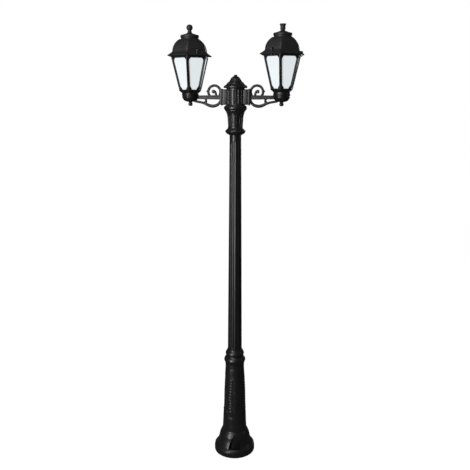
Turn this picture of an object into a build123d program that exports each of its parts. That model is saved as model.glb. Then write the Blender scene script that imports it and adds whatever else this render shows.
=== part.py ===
from build123d import *
import math
import os

# Street lamp post with two six-sided lanterns on scrolled arms.
# Millimetres, +Z up, origin on the ground at the centre of the foot. The lanterns stand along X
# and -Y is the front. Heights are above the ground and radii are from the piece's own axis.

# Driving dimensions
TOTAL_HEIGHT = 2200.0
PLINTH_R = 107.0
PLINTH_TOP = 42.0
LOBE_TOP = 147.0
BASE_TOP = 499.0
COLLAR_TOP = 579.0
POLE_TOP = 1685.0
NECK_TOP = 1805.0
DRUM_TOP = 1906.0
ARM_REACH = 221.0
BAR_Z = 1864.25
CUP_TOP = 1884.0
LANTERN_TURNS = {"left": 64.8, "right": -1.2}
LANTERN_LIFTS = {"left": 0.0, "right": 5.0}

# Foot and anchor bolts
ANCHOR_R = 87.0
ANCHOR_HOLE_R = 6.5
FOOT_TURN = 8.5
NICHE_ANGLES = (-90.0 + FOOT_TURN, 30.0 + FOOT_TURN, 150.0 + FOOT_TURN)
NICHE_HALF_WIDTH = 33.0
NICHE_BACK = 66.0
NICHE_APEX = 117.0
BASE_LEDGE = 130.0

# Pole
POLE_FOOT_R = 36.6
POLE_HEAD_R = 28.5
POLE_WALL = 5.0
POLE_FLUTES = 12
FLUTE_FOOT_Z = 592.0
FLUTE_HEAD_Z = 1655.0
FLUTE_DEPTH = 1.6

# Neck: the vase's curve, as (radius, height)
NECK_VASE = [(37.7, 1718), (36, 1725), (36.8, 1740), (38.9, 1767), (42.1, 1786), (46.8, 1799)]

# Hub drum and arms
DRUM_R = 44.5
DRUM_BORE_R = 37.0
DRUM_FLOOR = 1820.0
BOSS_FACE = 60.0
GASKET = 1.5
PLATE_OUTER = 71.5
PLATE_LOW = 1829.0
PLATE_HIGH = 1902.0
PLATE_HALF_WIDTH = 20.0
ARM_BOLT_Z = (1842.0, 1888.0)
BAR_HALF_HEIGHT = 9.25
BAR_HALF_WIDTH = 7.0
SCROLL_WIDTH = 12.0
LEAD_R = 2.0
LEAD_BEND_R = 12.0

# Tie rod and supply cable inside the post
ROD_R = 5.0
ROD_FOOT = 106.0
ROD_HEAD = 1842.0
RISER_R = 4.0
RISER_Y = 15.5

# Lantern, heights above the ground and half-widths across the flats
BOWL_LOW = 1884.3
FLOOR_TOP = 1896.0
PANE_TOP = 2047.0
RING_TOP = 2054.4
RIM_Z = 2055.0
SEAT_Z = 2057.2
SKIRT_TOP = 2075.0
DOME_TOP = 2132.0
SPOOL_TOP = 2192.8
BOWL_FLAT = 41.0
FLOOR_FLAT = 49.0
RING_FLAT = 82.5
RIM_FLAT = 100.0
DOME_FLAT = 78.2
DOME_RISE = 70.3
FRAME_WALL = 5.0
DIFFUSER_WALL = 2.5
STRUT_HALF = 8.4
RUNNING = 0.3

# Roof hinge and thumbscrew
HINGE_R = 91.0
HINGE_Z = 2050.0
KNUCKLE_R = 4.5
KNUCKLE_HALF = 7.0
LUG_OUTER = 13.0
PIN_R = 2.0
SCREW_RADIUS = 88.5
SCREW_FACET = 240.0


def outline(*runs):
    """Closed face in the X-Z plane. A run of two (radius, height) points is straight, a longer one
    is a smooth curve, and straight edges join one run to the next."""
    edges = []
    first = Vector(runs[0][0][0], 0, runs[0][0][1])
    here = first
    for run in runs:
        points = [Vector(r, 0, z) for r, z in run]
        if (points[0] - here).length > 1e-6:
            edges.append(Line(here, points[0]))
        if len(points) == 2:
            edges.append(Line(points[0], points[1]))
        elif len(points) > 2:
            edges.append(Spline(*points))
        here = points[-1]
    if (here - first).length > 1e-6:
        edges.append(Line(here, first))
    return Face(Wire(edges))


def turned(*runs):
    """Solid of revolution about the Z axis."""
    return revolve(outline(*runs), Axis.Z)


def ring(inner, outer, low, high):
    """Plain ring, or a disc when the inner radius is zero."""
    body = Pos(0, 0, (low + high) / 2) * Cylinder(outer, high - low)
    if inner:
        body -= Pos(0, 0, (low + high) / 2) * Cylinder(inner, high - low + 2)
    return body


def block(x, y, z):
    """Box between pairs of X, Y and Z limits."""
    centre = Pos((x[0] + x[1]) / 2, (y[0] + y[1]) / 2, (z[0] + z[1]) / 2)
    return centre * Box(x[1] - x[0], y[1] - y[0], z[1] - z[0])


def rod_x(radius, x, y, z):
    """Cylinder along X between two X limits."""
    return Pos((x[0] + x[1]) / 2, y, z) * Rot(0, 90, 0) * Cylinder(radius, x[1] - x[0])


def rod_y(radius, y, x, z):
    """Cylinder along Y between two Y limits."""
    return Pos(x, (y[0] + y[1]) / 2, z) * Rot(90, 0, 0) * Cylinder(radius, y[1] - y[0])


def six_sided(*runs):
    """Six-sided solid with flats facing +X and -X, from the half outline of its flats."""
    half = extrude(outline(*runs), amount=160, both=True)
    slab = half + mirror(half, Plane.YZ)
    return slab & (Rot(0, 0, 60) * slab) & (Rot(0, 0, 120) * slab)


def hex_nut(across_flats, bore_r, low, high):
    """Hexagonal nut about the Z axis."""
    nut = extrude(RegularPolygon(across_flats / 2, 6, major_radius=False), high - low)
    return Pos(0, 0, low) * nut - ring(0, bore_r, low - 1, high + 1)


def ribbon(stations, depth):
    """Cast strip that follows (x, z, width) stations in the X-Z plane, with smooth sides."""
    count = len(stations)
    left = []
    right = []
    for i, (x, z, width) in enumerate(stations):
        before = stations[max(i - 1, 0)]
        after = stations[min(i + 1, count - 1)]
        along = math.hypot(after[0] - before[0], after[1] - before[1])
        nx = -(after[1] - before[1]) / along * width / 2
        nz = (after[0] - before[0]) / along * width / 2
        left.append((x + nx, z + nz))
        right.append((x - nx, z - nz))
    return extrude(outline(left, right[::-1]), amount=depth / 2, both=True)


# ---- Post ----

def base_casting():
    """Foot and tapering pedestal in one hollow casting: a round plinth, three lobes with niches
    between them for the anchor bolts, and a tall waisted cone."""
    body = turned(
        [(0, 0), (PLINTH_R - 1.5, 0)],
        [(PLINTH_R, 5), (PLINTH_R, 24)],
        [(PLINTH_R - 1.4, 30), (PLINTH_R - 2.2, 35.5)],
        [(PLINTH_R - 2.2, 35.5), (102, 39), (97.8, 42), (93.2, 47.4), (89.8, 53.3), (87.8, 59.5), (83.4, 72.5)],
        [(83.4, 72.5), (81, 83), (78.8, 95), (76, 103), (72.6, 111), (71, 115)],
        [(69.6, 118.5), (65, 123.5)],
        [(63.6, 128), (62.7, LOBE_TOP)],
        [(62.7, LOBE_TOP), (59.3, 223), (56.9, 282), (55.8, 340), (53.3, 398), (50.4, 455), (48.6, 476)],
        [(47.4, 477.5), (49.0, 480)],
        [(49.0, BASE_TOP), (0, BASE_TOP)],
    )
    body -= turned(
        [(0, -1), (98, -1)],
        [(98, 34), (58, 34)],
        [(58, BASE_LEDGE), (52, BASE_LEDGE)],
        [(52, 165), (49, 282), (47, 340), (43, 455)],
        [(40, 480), (40, BASE_TOP + 1)],
        [(0, BASE_TOP + 1), (0, -1)],
    )
    pocket = turned(
        [(58, 33), (97, 33)],
        [(97, 36), (84, 48)],
        [(81, 60), (75, 86)],
        [(68, 102), (62, 118)],
        [(62, 118), (58, 118)],
    )
    wall = NICHE_HALF_WIDTH + 7.5
    for angle in NICHE_ANGLES:
        pocket -= Rot(0, 0, angle + 90) * block((-wall, wall), (-120, -50), (30, 125))
    body -= pocket
    for angle in NICHE_ANGLES:
        turn = Rot(0, 0, angle + 90)
        body += turn * Pos(0, -ANCHOR_R, 0) * ring(0, 12.5, 0, 35)
        niche = outline(
            [(-NICHE_HALF_WIDTH, PLINTH_TOP), (NICHE_HALF_WIDTH, PLINTH_TOP)],
            [(NICHE_HALF_WIDTH, PLINTH_TOP), (24, 74), (12, 100), (0, NICHE_APEX)],
            [(0, NICHE_APEX), (-12, 100), (-24, 74), (-NICHE_HALF_WIDTH, PLINTH_TOP)],
        )
        body -= turn * Pos(0, -NICHE_BACK, 0) * extrude(niche, amount=60, dir=(0, -1, 0))
        body -= turn * Pos(0, -ANCHOR_R, 0) * ring(0, ANCHOR_HOLE_R, -1, PLINTH_TOP + 1)
    return body - rod_y(3.05, (34, 60), 0, BASE_TOP - 6)


def base_collar():
    """Two stacked beads between the pedestal and the pole, with a spigot at each end."""
    body = turned(
        [(0, BASE_TOP), (49, BASE_TOP)],
        [(49, BASE_TOP), (55.2, 517), (50.5, 535), (44, 540.5)],
        [(44, 540.5), (44, 546)],
        [(44, 546), (47.6, 555), (44.5, 569), (40.5, 574)],
        [(40.5, 574), (38.2, COLLAR_TOP)],
        [(38.2, COLLAR_TOP), (0, COLLAR_TOP)],
    )
    body += ring(0, 39.8, BASE_TOP - 12, BASE_TOP)
    body += ring(0, 30.9, COLLAR_TOP, COLLAR_TOP + 21)
    body -= ring(0, 26, BASE_TOP - 13, COLLAR_TOP + 22)
    body -= rod_y(3.05, (20, 60), 0, BASE_TOP - 6)
    return body - rod_y(3.05, (20, 60), 0, COLLAR_TOP + 12)


def flute_cutter(foot, head, cut_r_foot, cut_r_head, depth):
    """Round-ended cutter on the +X side, between (surface radius, height) points."""
    low = Vector(foot[0] + cut_r_foot - depth, 0, foot[1])
    high = Vector(head[0] + cut_r_head - depth, 0, head[1])
    run = high - low
    tilt = math.degrees(math.atan2(run.X, run.Z))
    middle = (low + high) * 0.5
    if cut_r_foot == cut_r_head:
        core = Cylinder(cut_r_foot, run.length)
    else:
        core = Cone(cut_r_foot, cut_r_head, run.length)
    cutter = Pos(*middle) * Rot(0, tilt, 0) * core
    cutter += Pos(*low) * Sphere(cut_r_foot)
    return cutter + Pos(*high) * Sphere(cut_r_head)


def pole_radius(z):
    """Outer radius of the tapering pole."""
    share = (z - COLLAR_TOP) / (POLE_TOP - COLLAR_TOP)
    return POLE_FOOT_R + (POLE_HEAD_R - POLE_FOOT_R) * share


def pole_shaft():
    """Tapering fluted tube with a 24-sided bore."""
    body = turned(
        [(0, COLLAR_TOP), (POLE_FOOT_R, COLLAR_TOP)],
        [(POLE_HEAD_R, POLE_TOP), (0, POLE_TOP)],
    )
    bore_foot = Plane.XY.offset(COLLAR_TOP) * RegularPolygon(POLE_FOOT_R - POLE_WALL, 24)
    bore_head = Plane.XY.offset(POLE_TOP) * RegularPolygon(POLE_HEAD_R - POLE_WALL, 24)
    body -= loft([bore_foot, bore_head])
    cutter = flute_cutter(
        (pole_radius(FLUTE_FOOT_Z), FLUTE_FOOT_Z),
        (pole_radius(FLUTE_HEAD_Z), FLUTE_HEAD_Z),
        14.5,
        11.4,
        FLUTE_DEPTH,
    )
    for i in range(POLE_FLUTES):
        body -= Rot(0, 0, i * 360 / POLE_FLUTES) * cutter
    body -= rod_y(3.05, (20, 60), 0, COLLAR_TOP + 12)
    return body - rod_y(3.05, (20, 60), 0, POLE_TOP - 12)


def neck_casting():
    """Fluted vase between the pole and the hub, with a sharp ring at its foot."""
    body = turned(
        [(0, POLE_TOP), (30.5, POLE_TOP)],
        [(30.5, POLE_TOP), (38.8, 1690), (47.5, 1699)],
        [(49.6, 1702), (49.6, 1705.5)],
        [(46.4, 1709.5), (37.7, 1718)],
        NECK_VASE,
        [(50.2, 1801), (50.2, NECK_TOP)],
        [(50.2, NECK_TOP), (0, NECK_TOP)],
    )
    body += ring(0, 23.0, POLE_TOP - 20, POLE_TOP)
    body -= turned(
        [(0, 1660), (20.3, 1660)],
        [(20.3, 1725), (28, 1742)],
        [(31, 1770), (39.9, 1791)],
        [(39.9, NECK_TOP + 1), (0, NECK_TOP + 1)],
    )
    outer = [(r + 3, z) for r, z in NECK_VASE]
    inner = [(r - 2.2, z) for r, z in NECK_VASE]
    skin = turned([(0, 1718)], outer, [(0, 1799)]) - turned([(0, 1717)], inner, [(0, 1800)])
    panel = outline(
        [(-8.2, 1727), (8.2, 1727)],
        [(10.2, 1796), (0, 1783)],
        [(0, 1783), (-10.2, 1796)],
    )
    cutter = skin & extrude(panel, amount=60, dir=(0, -1, 0))
    for i in range(8):
        body -= Rot(0, 0, i * 45) * cutter
    body -= rod_y(3.05, (18, 60), 0, POLE_TOP - 12)
    return body - rod_y(3.05, (30, 60), 0, NECK_TOP - 6)


def hub_body():
    """Fluted wiring drum with a bead at its foot and a boss on each side for an arm."""
    body = turned(
        [(0, NECK_TOP), (51, NECK_TOP)],
        [(51, NECK_TOP), (55.8, 1811), (55.8, 1820), (50, 1826)],
        [(46, 1827), (DRUM_R, 1829)],
        [(DRUM_R, DRUM_TOP), (0, DRUM_TOP)],
    )
    cutter = flute_cutter((DRUM_R, 1836), (DRUM_R, 1896), 4.6, 4.6, 2.2)
    for i in range(16):
        angle = i * 22.5
        if abs(math.cos(math.radians(angle))) < 0.85:
            body -= Rot(0, 0, angle) * cutter
    boss = block((30, BOSS_FACE), (-PLATE_HALF_WIDTH, PLATE_HALF_WIDTH), (PLATE_LOW, PLATE_HIGH))
    boss = fillet(boss.edges().filter_by(Axis.X), 5)
    body += boss + mirror(boss, Plane.YZ)
    body += ring(33, 39.7, NECK_TOP - 10, NECK_TOP)
    body -= ring(0, 33, NECK_TOP - 11, NECK_TOP + 4)
    body -= ring(0, DRUM_BORE_R, DRUM_FLOOR, DRUM_TOP + 1)
    for side in (-1, 1):
        pillar = Pos(0, side * 35.5, 0) * ring(0, 5.5, DRUM_FLOOR, DRUM_TOP)
        body += pillar & ring(0, 43, DRUM_FLOOR, DRUM_TOP)
        body -= Pos(0, side * 36.5, 0) * ring(0, 2.05, DRUM_TOP - 22, DRUM_TOP + 1)
    body -= ring(0, ROD_R + 0.3, NECK_TOP, DRUM_FLOOR + 1)
    body -= Pos(0, RISER_Y, 0) * ring(0, RISER_R + 1, NECK_TOP, DRUM_FLOOR + 1)
    body -= rod_x(LEAD_R + 2.5, (-BOSS_FACE - 1, BOSS_FACE + 1), 0, BAR_Z)
    for z in ARM_BOLT_Z:
        body -= rod_x(3.2, (-BOSS_FACE - 1, BOSS_FACE + 1), 0, z)
        body -= rod_x(6.2, (-37.5, 37.5), 0, z)
    return body - rod_y(3.05, (30, 60), 0, NECK_TOP - 6)


def hub_gasket():
    """Flat seal between the drum and its cap."""
    return ring(38, 43, DRUM_TOP, DRUM_TOP + GASKET) - cap_screw_holes(2.3)


def cap_screw_holes(radius):
    """Clearance for the two cap screws."""
    hole = ring(0, radius, DRUM_TOP - 1, DRUM_TOP + 40)
    return Pos(0, -36.5, 0) * hole + Pos(0, 36.5, 0) * hole


def hub_cap():
    """Bell-shaped drum cover with a small knob on top."""
    low = DRUM_TOP + GASKET
    body = turned(
        [(0, low), (56, low)],
        [(57, low + 1.5), (57, 1917)],
        [(56.4, 1918), (42.6, 1926), (33.2, 1935.5), (26.4, 1945), (21.6, 1953), (11.2, 1962)],
        [(11.2, 1962), (7.4, 1963)],
        [(7.4, 1963), (8.4, 1966), (5.5, 1969.2), (0, 1970)],
    )
    body -= turned(
        [(0, low - 1), (33, low - 1)],
        [(29, 1925), (22, 1940)],
        [(14.5, 1950), (0, 1953)],
    )
    body -= cap_screw_holes(2.3)
    pocket = ring(0, 4.7, 1931, 1960)
    return body - Pos(0, -36.5, 0) * pocket - Pos(0, 36.5, 0) * pocket


def cap_screws():
    """Two pan-head screws that hold the cap down."""
    screw = ring(0, 2, DRUM_TOP - 20, 1931)
    screw += turned([(0, 1931), (4.2, 1931)], [(4.2, 1932.2), (3.0, 1934.2), (0, 1935)])
    screw -= block((-4, 4), (-0.5, 0.5), (1933.6, 1936))
    return Compound(children=[Pos(0, -36.5, 0) * screw, Pos(0, 36.5, 0) * screw])


def cup(top):
    """Round cup at the arm's end, hollow for the wires, at the origin's axis."""
    body = turned(
        [(0, 1843), (14, 1843)],
        [(14, 1843), (27, 1847), (35, 1854.5), (38, 1861)],
        [(38, 1861), (40.6, 1863.2), (40.6, 1866), (38.4, 1868.4)],
        [(38.4, 1870.5), (41.6, 1872.8), (41.6, 1877), (39.6, 1879.6)],
        [(39.6, top), (0, top)],
    )
    web = top - 7
    body -= turned([(0, 1850), (20, 1850)], [(27, 1858), (27, web)], [(0, web), (0, 1850)])
    return body - ring(0, 6.3, web - 1, top + 1) - ring(0, 8, 1842, 1851)


def right_hand_arm(side):
    """Cast arm: end plate, straight hollow bar, scroll above it, swept brace below it and cup."""
    plate = block(
        (BOSS_FACE + GASKET, PLATE_OUTER),
        (-PLATE_HALF_WIDTH, PLATE_HALF_WIDTH),
        (PLATE_LOW, PLATE_HIGH),
    )
    plate = fillet(plate.edges().filter_by(Axis.X), 5)
    bar = block(
        (PLATE_OUTER - 1, ARM_REACH - 33),
        (-BAR_HALF_WIDTH, BAR_HALF_WIDTH),
        (BAR_Z - BAR_HALF_HEIGHT, BAR_Z + BAR_HALF_HEIGHT),
    )
    for face in (-1, 1):
        groove_y = sorted((face * (BAR_HALF_WIDTH - 1.2), face * (BAR_HALF_WIDTH + 1)))
        bar -= block((PLATE_OUTER + 7, ARM_REACH - 45), groove_y, (BAR_Z - 3, BAR_Z + 3))
    hoop = Pos(103, 0, 1890) * Rot(90, 0, 0) * (Cylinder(34, SCROLL_WIDTH) - Cylinder(24.8, SCROLL_WIDTH))
    hoop -= block((60, 140), (-10, 10), (1850, BAR_Z))
    nib = outline([(133, 1898), (142, 1892)], [(133, 1887), (131, 1892)])
    hoop += extrude(nib, amount=SCROLL_WIDTH / 2, both=True)
    curl = ribbon([(94.5, 1868, 9), (96.5, 1882, 9), (102, 1892.5, 8.5), (111, 1893.5, 7)], SCROLL_WIDTH)
    curl += Pos(108.5, 0, 1890) * Rot(90, 0, 0) * Cylinder(6.2, SCROLL_WIDTH + 1)
    brace = ribbon(
        [
            (70, 1856, 10), (75, 1843, 10), (86, 1830, 11), (101, 1824, 12), (116, 1823, 12.5),
            (132, 1827, 11.5), (148, 1834.5, 10), (164, 1839.5, 9), (180, 1842.5, 9), (203, 1847, 9),
        ],
        SCROLL_WIDTH,
    )
    web = ribbon([(147, 1860, 9), (144, 1850, 8.5), (144, 1841, 8.5), (148, 1832, 9)], SCROLL_WIDTH)
    leaf = outline([(144, 1848), (154, 1841)], [(149, 1838), (144, 1838)])
    web += extrude(leaf, amount=SCROLL_WIDTH / 2, both=True)
    body = plate + bar + hoop + curl + brace + web
    body += Pos(ARM_REACH, 0, 0) * cup(CUP_TOP + LANTERN_LIFTS[side])
    body -= Pos(ARM_REACH, 0, 0) * ring(0, 20, 1850, 1877)
    body -= rod_x(LEAD_R + 2, (BOSS_FACE, ARM_REACH), 0, BAR_Z)
    for z in ARM_BOLT_Z:
        body -= rod_x(3.05, (BOSS_FACE, PLATE_OUTER - 2), 0, z)
    return body


def arm_gasket():
    """Flat seal between the hub boss and the right arm's end plate."""
    body = block((BOSS_FACE, BOSS_FACE + GASKET), (-18, 18), (PLATE_LOW + 2, PLATE_HIGH - 2))
    body -= rod_x(LEAD_R + 2.5, (BOSS_FACE - 1, BOSS_FACE + 3), 0, BAR_Z)
    for z in ARM_BOLT_Z:
        body -= rod_x(3.2, (BOSS_FACE - 1, BOSS_FACE + 3), 0, z)
    return body


def arm_bolts():
    """Four socket screws, put in from inside the drum, that hold the arms."""
    bolts = []
    for z in ARM_BOLT_Z:
        bolt = rod_x(5, (32, 37.5), 0, z) + rod_x(3, (37.5, PLATE_OUTER - 3), 0, z)
        bolt -= rod_x(2.5, (31, 35), 0, z)
        bolts += [bolt, mirror(bolt, Plane.YZ)]
    return Compound(children=bolts)


def drop_knob():
    """Turned knob that plugs the cup's wiring hole from below."""
    return turned(
        [(0, 1849.5), (0, 1823)],
        [(0, 1823), (7.5, 1825.5), (10.8, 1832.5), (7, 1840)],
        [(9.5, 1841), (9.5, 1843)],
        [(7.9, 1843), (7.9, 1849.5)],
    )


def right_hand_lead():
    """Lamp lead from the terminal block through the bar, then up the lantern's hollow stem."""
    bend = Vector(ARM_REACH - LEAD_BEND_R, 0, BAR_Z)
    corner = LEAD_BEND_R * math.sqrt(0.5)
    rise = Vector(ARM_REACH, 0, BAR_Z + LEAD_BEND_R)
    path = Wire(
        [
            Line((16, 0, BAR_Z), bend),
            ThreePointArc(bend, bend + Vector(corner, 0, LEAD_BEND_R - corner), rise),
            Line(rise, (ARM_REACH, 0, 1914)),
        ]
    )
    return sweep(Plane((16, 0, BAR_Z), z_dir=(1, 0, 0)) * Circle(LEAD_R), path)


def tie_plate():
    """Steel disc under the pedestal's inner ledge, which the tie rod pulls up against."""
    body = ring(ROD_R + 0.3, 57, BASE_LEDGE - 8, BASE_LEDGE)
    body -= Pos(0, RISER_Y, 0) * ring(0, RISER_R + 1, BASE_LEDGE - 9, BASE_LEDGE + 1)
    return body - Pos(30, 0, 0) * ring(0, 3.05, BASE_LEDGE - 9, BASE_LEDGE + 1)


def earth_screw():
    """Earthing screw in the tie plate."""
    head = ring(0, 5, BASE_LEDGE - 12, BASE_LEDGE - 8)
    return Pos(30, 0, 0) * (head + ring(0, 3, BASE_LEDGE - 12, BASE_LEDGE))


def terminal_bracket():
    """Bent steel shelf on the drum floor."""
    foot = block((-12, 12), (-24, -10), (DRUM_FLOOR, DRUM_FLOOR + 2))
    upright = block((-12, 12), (-12, -10), (DRUM_FLOOR, 1858))
    shelf = block((-12, 12), (-12, 24), (1856, 1858))
    body = foot + upright + shelf
    return body - Pos(0, RISER_Y, 0) * ring(0, RISER_R + 1, 1855, 1859)


def terminal_block():
    """Three-way connector that joins the supply to both lamp leads."""
    body = block((-16, 16), (-9, 24), (1858, 1872))
    for x in (-10, 0, 10):
        for y in (-2, 16):
            body -= Pos(x, y, 0) * ring(0, 2.6, 1868, 1873)
    return body


# ---- Lantern, about its own axis, with the roof hinge on the +X flat ----

def frame_flat(z):
    """Half-width of the lantern's flared sides across the flats."""
    return FLOOR_FLAT + (RING_FLAT - FLOOR_FLAT) * (z - FLOOR_TOP) / (PANE_TOP - FLOOR_TOP)


def lantern_frame():
    """Cage of six leaning struts between a bowl-shaped foot and a top ring, with hinge lugs and a
    screw ear."""
    body = six_sided(
        [(0, BOWL_LOW), (BOWL_FLAT, BOWL_LOW)],
        [(BOWL_FLAT, BOWL_LOW + 1), (FLOOR_FLAT, FLOOR_TOP)],
        [(RING_FLAT, PANE_TOP), (RING_FLAT, RING_TOP)],
        [(0, RING_TOP), (0, BOWL_LOW)],
    )
    body -= six_sided(
        [(0, FLOOR_TOP), (FLOOR_FLAT - FRAME_WALL, FLOOR_TOP)],
        [(RING_FLAT - FRAME_WALL, PANE_TOP), (RING_FLAT - FRAME_WALL, RING_TOP + 1)],
        [(0, RING_TOP + 1), (0, FLOOR_TOP)],
    )
    low = frame_flat(FLOOR_TOP) * math.tan(math.pi / 6) - STRUT_HALF
    high = frame_flat(PANE_TOP) * math.tan(math.pi / 6) - STRUT_HALF
    window = outline(
        [(-low + 9, FLOOR_TOP + 3), (low - 9, FLOOR_TOP + 3)],
        [(low + 2.5, FLOOR_TOP + 17), (high - 2.5, PANE_TOP - 15)],
        [(high - 14, PANE_TOP - 1), (14 - high, PANE_TOP - 1)],
        [(2.5 - high, PANE_TOP - 15), (-low - 2.5, FLOOR_TOP + 17)],
    )
    cutter = Rot(0, 0, 90) * Pos(0, -30, 0) * extrude(window, amount=90, dir=(0, -1, 0))
    for i in range(6):
        body -= Rot(0, 0, i * 60) * cutter
    for side in (-1, 1):
        lug_y = sorted((side * (KNUCKLE_HALF + 0.4), side * LUG_OUTER))
        body += block((RING_FLAT - 2, HINGE_R), lug_y, (HINGE_Z - KNUCKLE_R, HINGE_Z + KNUCKLE_R - 0.1))
        body += rod_y(KNUCKLE_R, lug_y, HINGE_R, HINGE_Z)
    body -= rod_y(PIN_R, (-20, 20), HINGE_R, HINGE_Z)
    ear = block((RING_FLAT - 2, SCREW_RADIUS + 6), (-6.5, 6.5), (PANE_TOP - 1, RING_TOP))
    ear -= Pos(SCREW_RADIUS, 0, 0) * ring(0, 2.5, PANE_TOP - 3, RING_TOP + 1)
    body += Rot(0, 0, SCREW_FACET) * ear
    return body - ring(0, 6.1, BOWL_LOW - 1, FLOOR_TOP + 1)


def diffuser():
    """One-piece opal liner inside the cage."""
    outer_low = FLOOR_FLAT - FRAME_WALL - 0.2
    outer_high = RING_FLAT - FRAME_WALL - 0.2
    body = six_sided(
        [(0, FLOOR_TOP), (outer_low, FLOOR_TOP)],
        [(outer_high, PANE_TOP), (outer_high, RING_TOP - 1.4)],
        [(0, RING_TOP - 1.4), (0, FLOOR_TOP)],
    )
    return body - six_sided(
        [(0, FLOOR_TOP - 1), (outer_low - DIFFUSER_WALL, FLOOR_TOP - 1)],
        [(outer_high - DIFFUSER_WALL, PANE_TOP), (outer_high - DIFFUSER_WALL, RING_TOP)],
        [(0, RING_TOP), (0, FLOOR_TOP - 1)],
    )


def roof_gasket():
    """Rubber seal on the cage's top ring."""
    outer = RING_FLAT - 0.4
    inner = RING_FLAT - FRAME_WALL + 0.2
    top = SEAT_Z - RUNNING
    body = six_sided([(0, RING_TOP), (outer, RING_TOP)], [(outer, top), (0, top)])
    return body - six_sided([(0, RING_TOP - 1), (inner, RING_TOP - 1)], [(inner, top + 1), (0, top + 1)])


def stem():
    """Hollow threaded stem that carries the lantern and lets the lead through."""
    return ring(4.2, 6, 1870.5, 1912)


def stem_nuts():
    """Lock nuts under the cup's web and on the lantern floor."""
    return Compound(
        children=[hex_nut(17, 6.02, 1871.5, 1877 - RUNNING), hex_nut(17, 6.02, FLOOR_TOP, FLOOR_TOP + 5)]
    )


def lampholder():
    """Screw-base lampholder on the stem."""
    body = turned(
        [(0, 1905), (15, 1905)],
        [(18, 1909), (18, 1930)],
        [(20, 1932), (20, 1950)],
        [(0, 1950), (0, 1905)],
    )
    body -= ring(0, 13.4, 1921, 1951)
    return body - ring(0, 6.02, 1904, 1912) - ring(0, 3.2, 1911, 1922)


def bulb_cap():
    """Threaded metal base of the lamp."""
    return turned([(0, 1921), (5, 1921)], [(13, 1927), (13, 1947)], [(13, 1948.5), (0, 1948.5)])


def bulb_glass():
    """Pear-shaped lamp envelope."""
    body = turned(
        [(0, 1948.5), (13, 1948.5)],
        [(13, 1951), (17, 1970), (28, 1994), (30, 2012), (21, 2033), (0, 2042)],
    )
    return body - turned(
        [(0, 1948), (12, 1948)],
        [(12, 1951), (16, 1970.5), (27, 1994.5), (29, 2012), (20, 2032), (0, 2041)],
    )


def hinge_pin():
    """Plain pin with a head at each end, in the cage's lugs."""
    body = rod_y(PIN_R, (-LUG_OUTER, LUG_OUTER), HINGE_R, HINGE_Z)
    body += rod_y(3.2, (-LUG_OUTER - 1.5, -LUG_OUTER), HINGE_R, HINGE_Z)
    return body + rod_y(3.2, (LUG_OUTER, LUG_OUTER + 1.5), HINGE_R, HINGE_Z)


def dome_run(flat, rise, low, top):
    """Points of the elliptical dome from its foot up to a height, for a smooth run."""
    points = []
    for i in range(7):
        z = low + (top - low) * math.sin(math.pi / 2 * i / 6)
        points.append((flat * math.sqrt(1 - ((z - low) / rise) ** 2), z))
    return points


def roof():
    """Six-sided dome on a flared skirt, with the hinge knuckle and a screw boss."""
    body = six_sided(
        [(0, RIM_Z), (RIM_FLAT, RIM_Z)],
        [(RIM_FLAT, RIM_Z + 2.5), (DOME_FLAT, SKIRT_TOP)],
        dome_run(DOME_FLAT, DOME_RISE, SKIRT_TOP, DOME_TOP),
        [(0, DOME_TOP), (0, RIM_Z)],
    )
    screw_place = Rot(0, 0, SCREW_FACET) * Pos(SCREW_RADIUS, 0, 0)
    body += screw_place * ring(0, 5.5, SEAT_Z, 2068.5)
    strap = outline(
        [(HINGE_R - KNUCKLE_R, HINGE_Z), (HINGE_R + KNUCKLE_R, HINGE_Z)],
        [(HINGE_R + KNUCKLE_R, 2067.5), (HINGE_R + KNUCKLE_R - 1.5, 2069.5)],
        [(84, 2070.5), (78, 2068)],
        [(78, 2062), (HINGE_R - KNUCKLE_R, RIM_Z + 3)],
        [(HINGE_R - KNUCKLE_R, RIM_Z + 3), (HINGE_R - KNUCKLE_R, HINGE_Z)],
    )
    hinge_strap = extrude(strap, amount=KNUCKLE_HALF, both=True)
    for side in (-1, 1):
        hinge_strap -= block((60, 120), sorted((side * 5.5, side * 8)), (2060, 2090))
    body += hinge_strap
    body += rod_y(KNUCKLE_R, (-KNUCKLE_HALF, KNUCKLE_HALF), HINGE_R, HINGE_Z)
    lip = RIM_FLAT - 4
    body -= six_sided([(0, HINGE_Z - 10), (lip, HINGE_Z - 10)], [(lip, SEAT_Z), (0, SEAT_Z)])
    inner = DOME_FLAT - 3.4
    body -= six_sided(
        [(0, SEAT_Z - 1), (inner - 1, SEAT_Z - 1)],
        [(inner - 1, SKIRT_TOP - 3), (inner, SKIRT_TOP - 3)],
        dome_run(inner, DOME_RISE - 3.4, SKIRT_TOP - 3, DOME_TOP - 4),
        [(0, DOME_TOP - 4), (0, SEAT_Z - 1)],
    )
    body -= rod_y(PIN_R + 0.08, (-20, 20), HINGE_R, HINGE_Z)
    body -= screw_place * ring(0, 2.3, SEAT_Z - 5, 2070)
    body -= screw_place * ring(0, 5.0, 2068.5, 2090)
    return body - ring(0, 4.3, DOME_TOP - 6, DOME_TOP + 1)


def roof_cap():
    """Round moulded cap that covers the top of the dome."""
    body = turned(
        [(0, DOME_TOP), (42.4, DOME_TOP)],
        [(42.4, DOME_TOP + 8), (44.3, DOME_TOP + 10)],
        [(44.3, DOME_TOP + 17), (42, DOME_TOP + 20)],
        [(42, DOME_TOP + 20), (26, 2156), (14, 2160), (10, 2163)],
        [(0, 2163), (0, DOME_TOP)],
    )
    body -= turned(
        [(0, DOME_TOP - 1), (38, DOME_TOP - 1)],
        [(38, DOME_TOP + 14), (24, DOME_TOP + 19)],
        [(8, 2157), (0, 2157)],
    )
    return body - ring(0, 4.3, DOME_TOP, 2164)


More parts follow.
